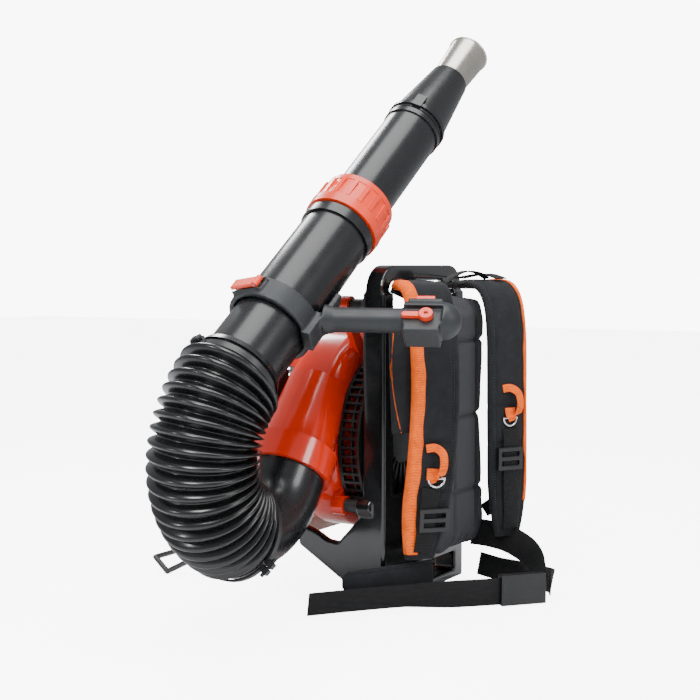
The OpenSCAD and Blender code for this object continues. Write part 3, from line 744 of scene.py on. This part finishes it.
def hip_wing():
    """Padded wing of the hip belt, with a crowned section."""
    line = smooth_path([Vector((x, y, 44)) for x, y in HIP_NEAR], 16)
    rings = []
    count = len(line)
    for i, p in enumerate(line):
        ahead = (line[min(i + 1, count - 1)] - line[max(i - 1, 0)]).normalized()
        out = ahead.cross(UP)
        u = i / (count - 1)
        half_h = 22 * (1 - 0.35 * u) * min(1, 0.5 + (1 - u) * 6)
        half_t = 5.5 * min(1, 0.35 + (1 - u) * 5)
        rings.append([(p + UP * (z * half_h / 33) + out * (lift * half_t / 6.5)) * MM
                      for z, lift in strap_section(33, 6.5)])
    piece = new_piece("hip_wing", loft("hip_wing", rings), "chassis", "fabric", ["hip_belt"])


def belts():
    near = [(x, y, 22 + 1.5 * math.sin(x / 30)) for x, y in BELT_NEAR]
    lean_out = Vector((-0.30, -0.34, 1))
    near_sides = [lean_out, lean_out * 1.1, lean_out, UP, UP]
    ribbon("belt_webbing_near", near, near_sides, NEAR_W, BELT_T, "webbing", steps=14)
    far = [(x, y, z) for (x, y), z in zip(BELT_FAR, (26, 24, 22, 22, 24, 30))]
    far_sides = [UP, Vector((0.2, -0.2, 1)), Vector((0.5, -0.2, 1)), Vector((0.5, 0, 1)), UP, UP]
    ribbon("belt_webbing_far", far, far_sides, FAR_W, BELT_T, "webbing", steps=14)
    lean = Vector((0.3, 0.3, 1))
    ribbon("belt_tail", [(22, -190, 24), (40, -172, 46), (52, -150, 62), (58, -120, 74), (56, -90, 80),
                         (52, -64, 82)], lean, 38, 2.0, "webbing")
    ribbon("lifter_right", [(-104, -17, 438), (-92, -34, 428), (-84, -56, 414), (-82, -74, 398)],
           Vector((0.7, -0.6, 0.3)), 22, 1.8, "webbing")
    ribbon("lifter_left", [(100, -20, 446), (92, -44, 450), (82, -72, 452), (72, -98, 446)],
           Vector((1, -0.5, 0)), 22, 1.8, "webbing")
    ribbon("grab_loop", [(4, -30, 428), (14, -44, 446), (34, -58, 456), (52, -70, 454), (62, -80, 446)],
           Vector((0.5, 0.9, 0)), 18, 1.8, "webbing")
    ribbon("side_tail_left", [(66, -122, 190), (82, -124, 172), (92, -122, 154), (90, -108, 138),
                              (84, -88, 122), (79, -70, 108)], Vector((0, 0.6, 0.8)), 20, 1.8, "webbing")


# ---------------------------------------------------------------- stitches
def stitch_rows(name, line, place, across, z0, z1, body="chassis"):
    """Short raised stitches along a strap's sewn line."""
    bm = bmesh.new()
    s0, s1 = line.at_height(z0), line.at_height(z1)
    s = s0
    while s < s1:
        centre, out = line.at(s)
        ahead = (line.at(s + 1)[0] - centre).normalized()
        for x in across:
            p = place @ ((centre + Vector((x, 0, 0)) + out * (STRAP_T / 2 * 0.78)) * MM)
            length = place.to_3x3() @ ahead
            side = place.to_3x3() @ Vector((1, 0, 0))
            face = place.to_3x3() @ out
            basis = Matrix((side, length, face)).transposed().to_4x4()
            basis.translation = p
            bmesh.ops.create_uvsphere(bm, u_segments=6, v_segments=4, radius=1.0,
                                      matrix=basis @ Matrix.Diagonal((0.00035, 0.0013, 0.0005, 1)))
        s += 4
    mesh = bpy.data.meshes.new(name)
    bm.to_mesh(mesh)
    bm.free()
    return new_piece(name, mesh, body, "thread", ())


# ---------------------------------------------------------------- make it
place_camera()
light_room()
lay_floor()
MATERIALS = make_materials()
dress_nodes()
throttle_conduit()
bellows()
soften("frame_skin", ["back_frame"], 1.8, 12, "chassis", "frame")
soften("handle_skin", ["handle_ring", "control_grip", "control_pod"], 1.2, 16, "handle", "grip")
soften("trigger_skin", ["throttle_trigger"], 0.7, 8, "trigger", "orange")
soften("lever_skin", ["throttle_lock_lever"], 0.6, 8, "lock_lever", "orange")
soften("cam_skin", ["cam_lever"], 0.7, 6, "cam", "orange")
soften("buckle_skin", ["buckle_socket", "buckle_tab"], 0.7, 5, "chassis", "black")
soften("ladder_skin", ["strap_adjusters"], 0.6, 4, "chassis", "black")
back_pad()
RIGHT_LINE, LEFT_LINE = StrapLine(RIGHT_PATH, -15, -9), StrapLine(LEFT_PATH, 6, -4)
make_straps(RIGHT_LINE, LEFT_LINE)
hip_wing()
belts()
stitch_rows("stitches_right", RIGHT_LINE, AT_RIGHT, (-24, 24), 350, 100)
stitch_rows("stitches_left", LEFT_LINE, AT_LEFT, (-24, 24), 380, 130)
